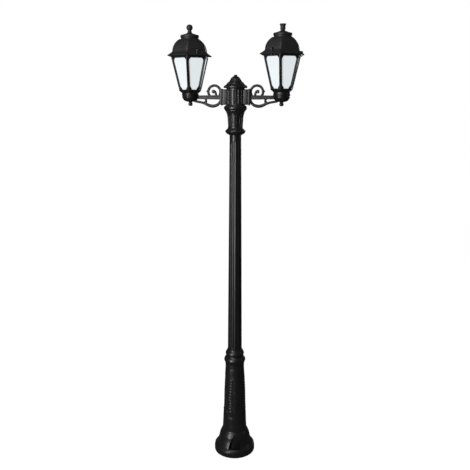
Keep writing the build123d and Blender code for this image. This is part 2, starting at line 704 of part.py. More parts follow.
def ball_finial():
    """Slightly flattened ball on a short waisted stem, with the stud that clamps the roof cap."""
    return turned(
        [(0, 2117), (4, 2117)],
        [(4, 2163), (9.8, 2163)],
        [(9.8, 2163), (10.4, 2165), (9.2, 2168), (9.2, 2174.5)],
        [(9.2, 2174.5), (13.4, 2178.5), (15, 2186), (12.6, 2194), (6.5, 2199), (0, TOTAL_HEIGHT)],
        [(0, TOTAL_HEIGHT), (0, 2117)],
    )


def spool_finial():
    """Flat-topped spool on a short stem, with the stud that clamps the roof cap."""
    return turned(
        [(0, 2117), (4, 2117)],
        [(4, 2163), (9.8, 2163)],
        [(9.8, 2163), (9.8, 2165.5)],
        [(12.6, 2168), (12.6, 2171)],
        [(12.0, 2173), (12.0, 2184)],
        [(12.8, 2186.5), (15.2, 2188.2)],
        [(15.2, 2191.6), (13.8, SPOOL_TOP)],
        [(0, SPOOL_TOP), (0, 2117)],
    )


def thumbscrew():
    """Captive screw with a slim knurled head, which holds the roof shut."""
    head = ring(0, 4.2, 2069.5, 2083.5)
    head = chamfer(head.edges().filter_by(GeomType.CIRCLE), 0.7)
    for i in range(12):
        head -= Rot(0, 0, i * 30) * Pos(4.5, 0, 0) * ring(0, 0.7, 2071, 2082)
    body = head + ring(0, 3.4, 2068.8, 2069.6) + ring(0, 2, 2049.5, 2069)
    body += ring(0, 3.2, RING_TOP + 0.6, SEAT_Z - RUNNING)
    return Rot(0, 0, SCREW_FACET) * Pos(SCREW_RADIUS, 0, 0) * body


# ---- Assembly ----

def place(body, side):
    """Put a lantern piece on its arm, turned to its own angle and lifted to its seat."""
    reach = {"left": -ARM_REACH, "right": ARM_REACH}[side]
    return Pos(reach, 0, LANTERN_LIFTS[side]) * Rot(0, 0, LANTERN_TURNS[side]) * body


def hand(body, side):
    """Mirror a right-hand piece for the left arm."""
    if side == "left":
        return mirror(body, Plane.YZ)
    return body


def washer(low):
    """Flat washer on the tie rod."""
    return ring(ROD_R + 0.2, 10, low, low + 2)


def grub_screws():
    """Four set screws at the back that lock the post's sections to each other."""
    spans = (
        (BASE_TOP - 6, 29, 48.3),
        (COLLAR_TOP + 12, 27, 34.2),
        (POLE_TOP - 12, 20.6, 28.2),
        (NECK_TOP - 6, 33.5, 45),
    )
    screws = []
    for z, inner, outer in spans:
        screws.append(rod_y(3, (inner, outer), 0, z) - rod_y(1.4, (outer - 2.5, outer + 1), 0, z))
    return Compound(children=screws)


nodes = {
    "base_casting": base_casting(),
    "base_collar": base_collar(),
    "pole_shaft": pole_shaft(),
    "neck_casting": neck_casting(),
    "hub_body": hub_body(),
    "hub_gasket": hub_gasket(),
    "hub_cap": hub_cap(),
    "cap_screws": cap_screws(),
    "section_screws": grub_screws(),
    "tie_plate": tie_plate(),
    "tie_rod": ring(0, ROD_R, ROD_FOOT, ROD_HEAD),
    "tie_washers": Compound(children=[washer(BASE_LEDGE - 10), washer(DRUM_FLOOR)]),
    "tie_nuts": Compound(
        children=[
            hex_nut(17, ROD_R + 0.02, BASE_LEDGE - 18, BASE_LEDGE - 10),
            hex_nut(17, ROD_R + 0.02, DRUM_FLOOR + 2, DRUM_FLOOR + 10),
        ]
    ),
    "earth_screw": earth_screw(),
    "supply_connector": Pos(0, RISER_Y, 0) * ring(0, 11, 48, 92),
    "riser_cable": Pos(0, RISER_Y, 0) * ring(0, RISER_R, 92, 1858),
    "terminal_bracket": terminal_bracket(),
    "terminal_block": terminal_block(),
    "arm_bolts": arm_bolts(),
}

for side in ("left", "right"):
    nodes[f"arm_{side}"] = hand(right_hand_arm(side), side)
    nodes[f"arm_gasket_{side}"] = hand(arm_gasket(), side)
    nodes[f"lead_{side}"] = hand(right_hand_lead(), side)
    nodes[f"drop_knob_{side}"] = hand(Pos(ARM_REACH, 0, 0) * drop_knob(), side)
    lantern = {
        "frame": lantern_frame(),
        "diffuser": diffuser(),
        "stem": stem(),
        "stem_nuts": stem_nuts(),
        "lampholder": lampholder(),
        "bulb_cap": bulb_cap(),
        "bulb_glass": bulb_glass(),
        "roof_gasket": roof_gasket(),
        "hinge_pin": hinge_pin(),
        "roof": roof(),
        "roof_cap": roof_cap(),
        "roof_nut": hex_nut(13, 4.02, DOME_TOP - 10, DOME_TOP - 4),
        "finial": {"left": ball_finial, "right": spool_finial}[side](),
        "thumbscrew": thumbscrew(),
    }
    for name, body in lantern.items():
        nodes[f"{name}_{side}"] = place(body, side)

os.makedirs("parts", exist_ok=True)
for name, body in nodes.items():
    export_step(body, f"parts/{name}.step")
print(len(nodes), "nodes")
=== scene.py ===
import math

import bmesh
import bpy
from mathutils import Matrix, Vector


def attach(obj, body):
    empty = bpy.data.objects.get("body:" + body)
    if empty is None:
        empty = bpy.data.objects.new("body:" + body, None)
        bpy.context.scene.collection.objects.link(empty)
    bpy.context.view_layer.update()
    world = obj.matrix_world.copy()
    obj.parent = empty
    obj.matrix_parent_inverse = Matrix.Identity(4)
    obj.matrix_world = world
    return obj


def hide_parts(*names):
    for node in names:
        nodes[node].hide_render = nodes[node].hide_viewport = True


# Street lamp post with two six-sided lanterns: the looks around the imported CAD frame.
# Every number in a shape is in millimetres, in the CAD's own frame, and MM turns it into metres.
# Angles go counterclockwise from +X, and the front is at -90 degrees.
MM = 0.001
ARM_REACH = 221.0
SEATS = {"left": (-ARM_REACH, 0.0, 64.8), "right": (ARM_REACH, 5.0, -1.2)}  # axis x, lift, turn
POST = (0.0, 0.0, 0.0)
SPLINE_STEPS = 6
SHARP_ANGLE = 38  # degrees between two faces, above which the edge between them stays sharp
NOISE_RANGE = (0.3, 0.7)  # the part of a noise texture's range that its values really fill

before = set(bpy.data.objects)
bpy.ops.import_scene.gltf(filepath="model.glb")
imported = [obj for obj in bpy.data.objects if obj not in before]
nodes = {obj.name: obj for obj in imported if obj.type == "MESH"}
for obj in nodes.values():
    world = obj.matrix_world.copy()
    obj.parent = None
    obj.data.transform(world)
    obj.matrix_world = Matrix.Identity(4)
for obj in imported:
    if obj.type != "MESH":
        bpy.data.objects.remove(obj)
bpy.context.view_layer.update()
scene = bpy.context.scene


# ---- Curves ----

def smoothstep(low, high, value):
    share = min(max((value - low) / (high - low), 0.0), 1.0)
    return share * share * (3 - 2 * share)


def spline(points):
    """Smooth curve through points of any dimension."""
    out = []
    last = len(points) - 1
    for i in range(last):
        p = [points[max(i - 1, 0)], points[i], points[i + 1], points[min(i + 2, last)]]
        for step in range(SPLINE_STEPS):
            t = step / SPLINE_STEPS
            row = []
            for a, b, c, d in zip(*p):
                bend = (2 * a - 5 * b + 4 * c - d) * t * t + (3 * b - a - 3 * c + d) * t * t * t
                row.append(0.5 * (2 * b + (c - a) * t + bend))
            out.append(tuple(row))
    return out + [points[last]]


def soften(points, radius, closed=False):
    """Round the sharp corners of a 2-D line with short curves."""
    out = []
    count = len(points)
    for i, (x, y) in enumerate(points):
        if not closed and i in (0, count - 1):
            out.append((x, y))
            continue
        ax, ay = points[i - 1][0] - x, points[i - 1][1] - y
        bx, by = points[(i + 1) % count][0] - x, points[(i + 1) % count][1] - y
        la, lb = math.hypot(ax, ay), math.hypot(bx, by)
        if la < 1e-9 or lb < 1e-9:
            continue
        if (ax * bx + ay * by) / (la * lb) < -0.93:
            out.append((x, y))
            continue
        cut = min(radius, 0.4 * la, 0.4 * lb)
        for t in (0.0, 0.25, 0.5, 0.75, 1.0):
            u = (1 - t) ** 2 * cut / la
            v = t * t * cut / lb
            out.append((x + ax * u + bx * v, y + ay * u + by * v))
    return out


def profile(*runs, radius=0.8):
    """Half outline as (radius, height): runs of two points are straight and longer ones smooth."""
    line = []
    for run in runs:
        for point in run if len(run) < 3 else spline(run):
            if not line or math.dist(line[-1], point) > 1e-6:
                line.append(point)
    return soften(line, radius)


def dense(line, step):
    """Split the long spans of a line."""
    out = [line[0]]
    for a, b in zip(line, line[1:]):
        parts = max(1, math.ceil(math.dist(a, b) / step))
        for i in range(1, parts + 1):
            out.append(tuple(p + (q - p) * i / parts for p, q in zip(a, b)))
    return out


# ---- Meshes, each as (vertices, faces) ----

def skin(rings, loop=False):
    """Closed mesh over rings of points: the last joins the first, or both ends are capped."""
    count = len(rings[0])
    verts = [point for ring in rings for point in ring]
    faces = []
    for i in range(len(rings) if loop else len(rings) - 1):
        a = i * count
        b = (i + 1) % len(rings) * count
        for j in range(count):
            k = (j + 1) % count
            faces.append((a + j, a + k, b + k, b + j))
    if not loop:
        faces.append(tuple(range(count))[::-1])
        faces.append(tuple(range(len(verts) - count, len(verts))))
    return verts, faces


def round_ring(radius, z, columns, relief=None):
    ring = []
    for j in range(columns):
        angle = math.tau * j / columns
        r = radius + (relief(angle, z) if relief else 0.0)
        ring.append((r * math.cos(angle), r * math.sin(angle), z))
    return ring


def lathe(outer, inner=(), columns=96, relief=None):
    """Turned shape; the relief moves the outer line only, and an inner line makes it hollow."""
    rings = [round_ring(r, z, columns, relief) for r, z in outer]
    rings += [round_ring(r, z, columns) for r, z in inner]
    return skin(rings, loop=bool(inner))


HEX_STEPS = (-30, -29.2, -28, -26, -23, -18, -12, -6, 0, 6, 12, 18, 23, 26, 28, 29.2)


def hex_ring(flat, z, sharpness=46):
    """Six-sided ring with softly rounded corners and a flat facing +X."""
    ring = []
    for k in range(6):
        for local in HEX_STEPS:
            total = sum(
                max(math.cos(math.radians(local - turn)), 0.0) ** sharpness for turn in (-60, 0, 60)
            )
            r = flat / total ** (1 / sharpness)
            angle = math.radians(60 * k + local)
            ring.append((r * math.cos(angle), r * math.sin(angle), z))
    return ring


def hexed(outer, inner=(), sharpness=lambda z: 46):
    """Six-sided shape; the sharpness of its corners goes by the height."""
    rings = [hex_ring(r, z, sharpness(z)) for r, z in outer]
    rings += [hex_ring(r, z) for r, z in inner]
    return skin(rings, loop=bool(inner))


STRIP_COLUMNS = 20
STRIP_POWER = 2.05  # 2 makes the bar's section an ellipse, and more makes it squarer
STRIP_BOLD = 1.24  # the bars of the scrolls are this much wider than their stations


def strip(stations, depth):
    """Bar with a rounded section along (x, z, width) stations in the X-Z plane."""
    rings = []
    last = len(stations) - 1
    for i, (x, z, width) in enumerate(stations):
        before = stations[max(i - 1, 0)]
        after = stations[min(i + 1, last)]
        along = math.hypot(after[0] - before[0], after[1] - before[1])
        nx, nz = -(after[1] - before[1]) / along, (after[0] - before[0]) / along
        shrink = 0.72 if i in (0, last) else 1.0
        ring = []
        for j in range(STRIP_COLUMNS):
            angle = math.tau * (j + 0.5) / STRIP_COLUMNS
            c, s = math.cos(angle), math.sin(angle)
            size = (abs(c) ** STRIP_POWER + abs(s) ** STRIP_POWER) ** (-1 / STRIP_POWER) * shrink
            off = size * c * width * STRIP_BOLD / 2
            ring.append((x + nx * off, size * s * depth / 2, z + nz * off))
        rings.append(ring)
    return skin(rings)


def prism(points, low, high):
    """Outline in the X-Z plane pulled along Y."""
    return skin([[(x, y, z) for x, z in points] for y in (low, high)])


def block(x, y, z):
    return prism([(x[0], z[0]), (x[1], z[0]), (x[1], z[1]), (x[0], z[1])], *y)


def turned_by(shape, angle):
    """Turn a shape about the Z axis."""
    c, s = math.cos(math.radians(angle)), math.sin(math.radians(angle))
    return [(x * c - y * s, x * s + y * c, z) for x, y, z in shape[0]], shape[1]


def moved(shape, dx, dy=0.0, dz=0.0):
    return [(x + dx, y + dy, z + dz) for x, y, z in shape[0]], shape[1]


def flipped(shape):
    return [(-x, y, z) for x, y, z in shape[0]], [face[::-1] for face in shape[1]]


def to_mesh(name, shapes, bevel=0.0):
    """One mesh from several closed shapes, in metres, with its sharp edges softened on request."""
    work = bmesh.new()
    for verts, faces in shapes:
        made = [work.verts.new((x * MM, y * MM, z * MM)) for x, y, z in verts]
        for face in faces:
            work.faces.new([made[i] for i in face])
    bmesh.ops.recalc_face_normals(work, faces=work.faces)
    if bevel:
        work.normal_update()
        edges = [e for e in work.edges if len(e.link_faces) == 2 and e.calc_face_angle(0) > 0.6]
        bmesh.ops.bevel(work, geom=edges, offset=bevel * MM, segments=3, profile=0.5, affect="EDGES")
    mesh = bpy.data.meshes.new(name)
    work.to_mesh(mesh)
    work.free()
    return mesh


def carve(thing, cutters):
    """Cut shapes out of an object and keep the result as its mesh."""
    tools = []
    for i, cutter in enumerate(cutters):
        tool = bpy.data.objects.new(f"cutter_{i}", to_mesh("cutter", [cutter]))
        scene.collection.objects.link(tool)
        cut = thing.modifiers.new(f"cut_{i}", "BOOLEAN")
        cut.operation = "DIFFERENCE"
        cut.solver = "EXACT"
        cut.object = tool
        tools.append(tool)
    seen = thing.evaluated_get(bpy.context.evaluated_depsgraph_get())
    thing.data = bpy.data.meshes.new_from_object(seen)
    thing.modifiers.clear()
    for tool in tools:
        bpy.data.objects.remove(tool)


def piece(name, shapes, material, body, swaps=(), seat=POST, bevel=0.0, cutters=()):
    """Detailed piece on a body, which takes the place of the CAD nodes named in swaps."""
    x0, lift, turn = seat
    placed = [moved(turned_by(shape, turn), x0, 0.0, lift) for shape in shapes]
    thing = bpy.data.objects.new(name, to_mesh(name, placed, bevel))
    scene.collection.objects.link(thing)
    if cutters:
        carve(thing, [moved(turned_by(shape, turn), x0, 0.0, lift) for shape in cutters])
    mesh = thing.data
    for face in mesh.polygons:
        face.use_smooth = True
    mesh.set_sharp_from_angle(angle=math.radians(SHARP_ANGLE))
    mesh.materials.clear()
    mesh.materials.append(material[0])
    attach(thing, body)
    if swaps:
        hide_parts(*swaps)
    return thing


# ---- Camera, floor and light ----

def aim(thing, place, target):
    """Stand a camera or light at a place and point it at another."""
    thing.location = place
    thing.rotation_mode = "QUATERNION"
    thing.rotation_quaternion = (Vector(target) - Vector(place)).to_track_quat("-Z", "Y")


def make_camera():
    camera = bpy.data.objects.new("camera", bpy.data.cameras.new("camera"))
    scene.collection.objects.link(camera)
    camera.data.sensor_width = 36.0
    camera.data.lens = 36.0 * 610 / 470
    camera.location = (0.433, -2.969, 1.853)
    camera.rotation_euler = (math.radians(77.5), math.radians(-0.16), math.radians(8.347))
    scene.camera = camera


def make_area(name, place, target, size, power):
    lamp = bpy.data.lights.new(name, "AREA")
    lamp.shape = "RECTANGLE"
    lamp.size, lamp.size_y = size
    lamp.energy = power
    thing = bpy.data.objects.new(name, lamp)
    scene.collection.objects.link(thing)
    aim(thing, place, target)


def light_path_mix(tree, seen, unseen, output):
    """Camera rays meet one shader and every other ray the other."""
    path = tree.nodes.new("ShaderNodeLightPath")
    mix = tree.nodes.new("ShaderNodeMixShader")
    tree.links.new(path.outputs["Is Camera Ray"], mix.inputs[0])
    tree.links.new(unseen, mix.inputs[1])
    tree.links.new(seen, mix.inputs[2])
    tree.links.new(mix.outputs[0], output)


def make_world():
    """White paper behind the object, and a dim room for it to reflect."""
    world = bpy.data.worlds.new("studio")
    world.use_nodes = True
    tree = world.node_tree
    seen = tree.nodes["Background"]
    seen.inputs["Color"].default_value = (1.0, 1.0, 1.0, 1.0)
    unseen = tree.nodes.new("ShaderNodeBackground")
    unseen.inputs["Color"].default_value = (1.0, 1.0, 1.0, 1.0)
    unseen.inputs["Strength"].default_value = 0.06
    light_path_mix(tree, seen.outputs[0], unseen.outputs[0], tree.nodes["World Output"].inputs[0])
    scene.world = world


def make_floor():
    """Wide pale paper floor."""
    mesh = bpy.data.meshes.new("floor")
    disc = bmesh.new()
    bmesh.ops.create_circle(disc, cap_ends=True, segments=96, radius=14.0)
    disc.to_mesh(mesh)
    disc.free()
    floor = bpy.data.objects.new("floor", mesh)
    scene.collection.objects.link(floor)
    material = bpy.data.materials.new("floor_paper")
    material.use_nodes = True
    tree = material.node_tree
    seen = tree.nodes["Principled BSDF"]
    seen.inputs["Base Color"].default_value = (0.07, 0.07, 0.07, 1.0)
    seen.inputs["Roughness"].default_value = 0.9
    seen.inputs["Specular IOR Level"].default_value = 0.0
    seen.inputs["Emission Color"].default_value = (1.0, 1.0, 1.0, 1.0)
    seen.inputs["Emission Strength"].default_value = 1.0
    unseen = tree.nodes.new("ShaderNodeBsdfDiffuse")
    unseen.inputs["Color"].default_value = (0.14, 0.14, 0.14, 1.0)
    out = tree.nodes["Material Output"].inputs["Surface"]
    light_path_mix(tree, seen.outputs[0], unseen.outputs[0], out)
    mesh.materials.append(material)


make_camera()
make_world()
make_floor()
scene.view_settings.view_transform = "Standard"
make_area("key", (-1.75, -2.9, 1.5), (0, 0, 1.1), (0.28, 3.6), 96)
make_area("front", (-0.8, -4.4, 2.3), (0, 0, 1.5), (1.2, 1.8), 27)
make_area("top", (-0.6, -1.6, 4.6), (0, 0, 1.4), (1.4, 1.4), 26)
make_area("side", (3.2, 0.4, 1.8), (0, 0, 1.2), (0.3, 3.0), 3)
make_area("back", (1.2, 4.0, 2.0), (0, 0, 1.2), (1.2, 2.4), 22)


# ---- Materials ----

def start_material(name, color, rough, metallic=0.0, specular=0.5):
    material = bpy.data.materials.new(name)
    material.use_nodes = True
    tree = material.node_tree
    shader = tree.nodes["Principled BSDF"]
    shader.inputs["Base Color"].default_value = (*color, 1.0)
    shader.inputs["Roughness"].default_value = rough
    shader.inputs["Metallic"].default_value = metallic
    shader.inputs["Specular IOR Level"].default_value = specular
    return material, tree, shader


def noise(tree, scale, detail=2.0):
    """Noise over the object's own coordinates, in cycles per metre."""
    place = tree.nodes.new("ShaderNodeTexCoord")
    texture = tree.nodes.new("ShaderNodeTexNoise")
    texture.inputs["Scale"].default_value = scale
    texture.inputs["Detail"].default_value = detail
    tree.links.new(place.outputs["Object"], texture.inputs["Vector"])
    return texture.outputs["Fac"]


def spread(tree, source, low, high, socket):
    """Drive a number socket between two values."""
    node = tree.nodes.new("ShaderNodeMapRange")
    node.inputs["From Min"].default_value, node.inputs["From Max"].default_value = NOISE_RANGE
    node.inputs["To Min"].default_value = low
    node.inputs["To Max"].default_value = high
    tree.links.new(source, node.inputs["Value"])
    tree.links.new(node.outputs["Result"], socket)


def tint(tree, source, dark, light, socket):
    """Drive a colour socket between two colours."""
    ramp = tree.nodes.new("ShaderNodeValToRGB")
    ramp.color_ramp.elements[0].position, ramp.color_ramp.elements[1].position = NOISE_RANGE
    ramp.color_ramp.elements[0].color = (*dark, 1.0)
    ramp.color_ramp.elements[1].color = (*light, 1.0)
    tree.links.new(source, ramp.inputs["Fac"])
    tree.links.new(ramp.outputs["Color"], socket)


def bump(tree, shader, layers):
    """Stack (source, strength, distance in metres) layers into the shader's normal."""
    before = None
    for source, strength, distance in layers:
        node = tree.nodes.new("ShaderNodeBump")
        node.inputs["Strength"].default_value = strength
        node.inputs["Distance"].default_value = distance
        tree.links.new(source, node.inputs["Height"])
        if before:
            tree.links.new(before.outputs["Normal"], node.inputs["Normal"])
        before = node
    tree.links.new(before.outputs["Normal"], shader.inputs["Normal"])


def powder_coat(name, dark, light, rough):
    """Black paint on sand-cast aluminium: fine orange peel, soft casting waves, faint dust."""
    material, tree, shader = start_material(name, dark, rough[0], specular=0.5)
    cloud = noise(tree, 22, 4)
    tint(tree, cloud, dark, light, shader.inputs["Base Color"])
    spread(tree, noise(tree, 60, 3), rough[0], rough[1], shader.inputs["Roughness"])
    grain = noise(tree, 900, 2)
    waves = noise(tree, 70, 2)
    bump(tree, shader, [(waves, 0.02, 0.0003), (grain, 0.1, 0.0002)])
    return material


def plain_metal(name, color, rough):
    material, tree, shader = start_material(name, color, rough, metallic=1.0)
    spread(tree, noise(tree, 300, 3), rough * 0.8, rough * 1.3, shader.inputs["Roughness"])
    bump(tree, shader, [(noise(tree, 1200, 2), 0.12, 0.0001)])
    return material


def plain_matte(name, color, rough):
    material, tree, shader = start_material(name, color, rough, specular=0.4)
    light = tuple(min(c * 1.15, 1.0) for c in color)
    tint(tree, noise(tree, 40, 3), color, light, shader.inputs["Base Color"])
    bump(tree, shader, [(noise(tree, 600, 2), 0.15, 0.0002)])
    return material


def opal_sheet_with_painted_glow():
    """Milky lantern pane with a faint cool tint, and a painted glow: a constant cool-white emission makes
    the unlit pane shine as if brightly lit.
    """
    material, tree, shader = start_material("opal_pane_painted_glow", (0.3, 0.32, 0.33), 0.32, specular=0.35)
    tint(tree, noise(tree, 18, 2), (0.28, 0.30, 0.31), (0.31, 0.33, 0.34), shader.inputs["Base Color"])
    # Painted light: this emission makes the unlit pane glow white in place of the light that falls on it.
    shader.inputs["Emission Color"].default_value = (0.92, 0.975, 1.0, 1.0)
    shader.inputs["Emission Strength"].default_value = 0.66
    bump(tree, shader, [(noise(tree, 25, 1), 0.1, 0.0006)])
    return material


def pearl_glass():
    material, tree, shader = start_material("pearl_glass", (0.93, 0.93, 0.91), 0.35)
    shader.inputs["Transmission Weight"].default_value = 0.4
    spread(tree, noise(tree, 80, 2), 0.28, 0.42, shader.inputs["Roughness"])
    return material


casting = powder_coat("black_coat", (0.0065, 0.0065, 0.0068), (0.0105, 0.0105, 0.011), (0.30, 0.36))
roofing = powder_coat("black_coat_roof", (0.011, 0.011, 0.0115), (0.016, 0.016, 0.0165), (0.46, 0.58))
FINISHES = {
    "black_casting": casting,
    "black_screws": plain_metal("blackened_steel", (0.05, 0.05, 0.052), 0.35),
    "steel": plain_metal("zinc_plate", (0.62, 0.63, 0.64), 0.3),
    "brass": plain_metal("brass", (0.72, 0.55, 0.26), 0.28),
    "rubber": plain_matte("rubber", (0.018, 0.018, 0.018), 0.75),
    "cable_sheath": plain_matte("cable_sheath", (0.03, 0.03, 0.03), 0.55),
    "black_plastic": plain_matte("black_plastic", (0.025, 0.025, 0.027), 0.5),
    "white_plastic": plain_matte("white_plastic", (0.78, 0.78, 0.75), 0.45),
    "opal": opal_sheet_with_painted_glow(),
    "ceramic": plain_matte("ceramic", (0.82, 0.80, 0.76), 0.3),
    "bulb_glass": pearl_glass(),
}
BLACK = (casting, "black_casting")
ROOF = (roofing, "black_casting")


# ---- Foot and pedestal ----

NICHE_ANGLES = (-81.5, 38.5, 158.5)
NICHE_HALF = 33.0
NICHE_FOOT = 42.0
NICHE_APEX = 117.0
NICHE_BACK = 66.0
ANCHOR_R = 87.0
ANCHOR_HOLE_R = 6.5
LEAF_LOW = 226.0
LEAF_HIGH = 428.0


def off_front(angle, repeats):
    """Signed angle from the nearest of several evenly spaced faces, one of which is the front."""
    part = math.tau / repeats
    return (angle + math.pi / 2 + part / 2) % part - part / 2


def leaflet(u, v, tip_u, tip_v, width):
    """Height of a pointed leaflet that grows from the origin to its tip, with a vein."""
    length = math.hypot(tip_u, tip_v)
    s = (u * tip_u + v * tip_v) / length**2
    if not 0.0 < s < 1.0:
        return 0.0
    t = abs(u * tip_v - v * tip_u) / length
    half = width * math.sin(math.pi * s**0.75) + 0.01
    if t >= half:
        return 0.0
    vein = 0.45 * smoothstep(1.3, 0.0, t)
    return math.sqrt(1 - (t / half) ** 2) * (0.55 + 0.45 * s) - vein


def leaf_spray(u, z):
    """Low relief of paired leaves up a stem, on the pedestal's faces."""
    if not LEAF_LOW < z < LEAF_HIGH or abs(u) > 30:
        return 0.0
    height = 0.8 * smoothstep(2.2, 0.6, abs(u)) * smoothstep(LEAF_LOW, LEAF_LOW + 8, z)
    for k in range(12):
        foot = LEAF_LOW + 3 + k * 16
        reach = 23 - 0.9 * abs(k - 4)
        height = max(height, leaflet(abs(u), z - foot, reach, 17, 4.6))
        height = max(height, 0.8 * leaflet(abs(u), z - foot - 8, reach * 0.5, 16, 3.8))
    return 1.9 * height


def pedestal_relief(angle, z):
    """Leaves, the stepped moulding round their panels and the seams of the casting."""
    if z < 118:
        return 0.0
    side = off_front(angle, 3)
    u = side * 56
    out = leaf_spray(u + 3, z)
    step_z = 205 + 33 * smoothstep(0.34, 0.62, abs(side))
    out += 0.9 * smoothstep(3.0, 0.4, abs(z - step_z))
    out -= 0.8 * smoothstep(2.6, 0.4, abs(z - step_z + 3.5))
    out -= 0.7 * smoothstep(2.2, 0.4, abs(z - 162))
    if abs(side) > 0.42:
        out -= 0.9 * smoothstep(432.6, 431.0, z) * smoothstep(LEAF_LOW + 12, LEAF_LOW + 22, z)
    return out


def niche_cutter():
    """Pointed arch with a rounded back, cut in from the front face."""
    rings = []
    rows = 22
    for i in range(rows + 1):
        z = NICHE_FOOT + (NICHE_APEX - NICHE_FOOT) * i / rows
        half = NICHE_HALF * max(1 - (i / rows) ** 1.5, 0.012)
        across = [half * (j / 7 - 1) for j in range(15)]
        back = [(u, -math.sqrt(NICHE_BACK**2 - u * u) - 0.05 * (z - NICHE_FOOT), z) for u in across]
        rings.append(back + [(u * 1.02, -130, z) for u in across[::-1]])
    return skin(rings)


def pedestal():
    outer = profile(
        [(98, 0), (105.2, 0)],
        [(107, 5), (107, 24)],
        [(105.6, 30), (105, 31.8)],
        [(103.8, 32.8), (104.8, 34)],
        [(104.8, 35.5), (102, 39), (97.8, 42), (93.2, 47.4), (89.8, 53.3), (87.8, 59.5), (83.4, 72.5)],
        [(83.4, 72.5), (81, 83), (78.8, 95), (76, 103), (72.6, 111), (71, 115)],
        [(69.6, 118.5), (65, 123.5)],
        [(63.6, 128), (62.7, 147)],
        [(62.7, 147), (59.3, 223), (56.9, 282), (55.8, 340), (53.3, 398), (50.4, 455), (48.6, 476)],
        [(47.2, 477.5), (49.0, 480)],
        [(49.0, 499), (40, 499)],
        radius=1.2,
    )
    inner = [(40, 480), (43, 455), (47, 340), (49, 282), (52, 165)]
    inner += [(52, 130), (58, 130), (58, 34), (98, 34)]
    cutters = [turned_by(niche_cutter(), angle + 90) for angle in NICHE_ANGLES]
    for angle in NICHE_ANGLES:
        bolt_hole = skin([round_ring(ANCHOR_HOLE_R, z, 32) for z in (-2, 46)])
        cutters.append(turned_by(moved(bolt_hole, 0, -ANCHOR_R), angle + 90))
    shape = lathe(dense(outer, 2.2), inner, 300, pedestal_relief)
    piece("pedestal", [shape], BLACK, "post", ["base_casting"], cutters=cutters)


pedestal()


# ---- Collar, pole and neck ----

POLE_FOOT = (36.6, 579.0)
POLE_HEAD = (28.5, 1685.0)


def fluted(count, low, high, depth, fade, width=0.62):
    """Relief of round flutes between two heights, with half-round ends."""
    part = math.tau / count

    def relief(angle, z):
        side = abs((angle + math.pi / 2 + part / 2) % part - part / 2) / (part / 2)
        ends = min(smoothstep(low, low + fade, z), smoothstep(high, high - fade, z))
        if not ends or side > width:
            return 0.0
        return -depth * ends * (0.5 + 0.5 * math.cos(math.pi * side / width))

    return relief


def collar():
    outer = profile(
        [(26, 499), (49, 499)],
        [(49, 499), (50.8, 504)],
        [(50.8, 504), (50.8, 506.5)],
        [(50.8, 506.5), (55.2, 517), (54.5, 526), (50.5, 534), (44.5, 539.5)],
        [(44.5, 539.5), (43.6, 545)],
        [(43.6, 545), (47.6, 551), (47.9, 557), (45.5, 565), (41, 571)],
        [(41, 571), (41, 573)],
        [(38.2, 578.8), (26, 578.8)],
    )
    piece("collar", [lathe(outer, [(26, 540)])], BLACK, "post", ["base_collar"])


def pole():
    rows = []
    count = 60
    for i in range(count + 1):
        share = i / count
        share = 0.5 - 0.5 * math.cos(math.pi * share)
        rows.append(tuple(a + (b - a) * share for a, b in zip(POLE_FOOT, POLE_HEAD)))
    inner = [(POLE_HEAD[0] - 5, POLE_HEAD[1]), (POLE_FOOT[0] - 5, POLE_FOOT[1])]
    relief = fluted(12, 588, 1660, 1.6, 14, 0.8)
    piece("pole", [lathe(rows, inner, 240, relief)], BLACK, "post", ["pole_shaft"])


def neck_relief(angle, z):
    """Eight sunk panels, each under a leaf point and with a rib down its middle."""
    u = abs(off_front(angle, 8)) * 39
    half = 8.6 + 2.2 * (z - 1727) / 69
    top = 1797 - 15 * max(1 - u / 10.5, 0.0)
    inside = smoothstep(half + 0.9, half - 0.9, u)
    inside *= smoothstep(1725.5, 1728, z) * smoothstep(top + 1.2, top - 1.2, z)
    return -inside * (2.8 - 1.4 * smoothstep(3.6, 2.2, u) * smoothstep(1781, 1774, z))


def neck():
    outer = profile(
        [(23, 1685), (30.5, 1685)],
        [(30.5, 1685), (33.2, 1688.5)],
        [(33.2, 1688.5), (38.8, 1690), (44, 1694.5), (48.4, 1700)],
        [(49.7, 1702), (49.7, 1705)],
        [(46.4, 1709.5), (40.5, 1715)],
        [(37.7, 1718), (36, 1725), (36.8, 1740), (38.9, 1767), (42.1, 1786), (46.8, 1798.5)],
        [(50.2, 1800.8), (50.2, 1805)],
        [(50.2, 1805), (39.9, 1805)],
        radius=1.0,
    )
    inner = [(39.9, 1791), (31, 1770), (28, 1742), (20.5, 1725), (20.5, 1685)]
    shape = lathe(dense(outer, 1.6), inner, 280, neck_relief)
    piece("neck", [shape], BLACK, "post", ["neck_casting"])


collar()
pole()
neck()


# ---- Hub ----

def hub():
    """Wiring drum with wide flutes, a bead under it and a boss on each side."""
    outer = profile(
        [(39.7, 1805), (51, 1805)],
        [(51, 1805), (54.6, 1808.5), (55.8, 1814), (54.8, 1820.5), (50, 1825.5)],
        [(46.4, 1826.6), (44.5, 1829)],
        [(44.5, 1829), (44.5, 1906)],
        [(44.5, 1906), (37, 1906)],
    )
    inner = [(37, 1820), (5.3, 1820), (5.3, 1809), (33, 1809), (33, 1795), (39.7, 1795)]
    drum = lathe(dense(outer, 1.8), inner, 320, fluted(16, 1831, 1902, 3.2, 5, 0.45))
    piece("drum", [drum], BLACK, "post", ["hub_body"])
    for side in (-1, 1):
        outline = soften([(-20, 1829), (20, 1829), (20, 1902), (-20, 1902)], 5, closed=True)
        across = sorted((side * 38.5, side * 60))
        boss = skin([[(x, y, z) for y, z in outline] for x in across])
        piece(f"boss_{side}", [boss], BLACK, "post", bevel=1.2)


